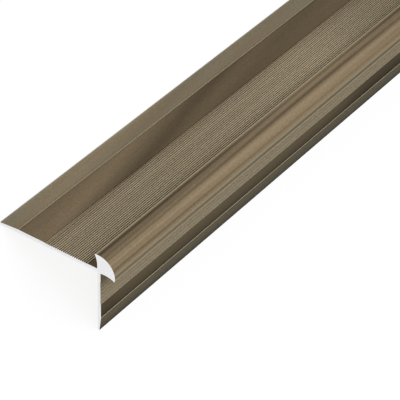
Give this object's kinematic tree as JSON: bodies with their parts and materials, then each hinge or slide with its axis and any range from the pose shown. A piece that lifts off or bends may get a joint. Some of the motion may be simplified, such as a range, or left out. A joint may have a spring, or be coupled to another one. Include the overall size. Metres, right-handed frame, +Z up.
{
  "type": "stair nosing",
  "caption": "Straight bar of extruded stair nosing in bronze anodised aluminium: a tread flange and a riser leg meet in a crescent nose whose lips cover the floor covering's edges.",
  "frame": {"origin": "bottom centre of the bounding box: mid-length, on the floor the bar lies on, midway between its two free edges", "axes": "+X along the bar, +Y from the nose towards the tread flange's back edge, +Z up from the floor; the bar lies on the flange's back edge and the leg's lower edge with the nose on top, so the tread's face slopes 31 degrees down towards +Y"},
  "size_m": [0.9, 0.0512, 0.0299],
  "materials": {
    "anodised_bronze": "satin bronze anodised extrusion with fine lengthwise die lines, saw-cut bare ends"
  },
  "bodies": {
    "root": {"nosing": "anodised_bronze"}
  },
  "joints": []
}
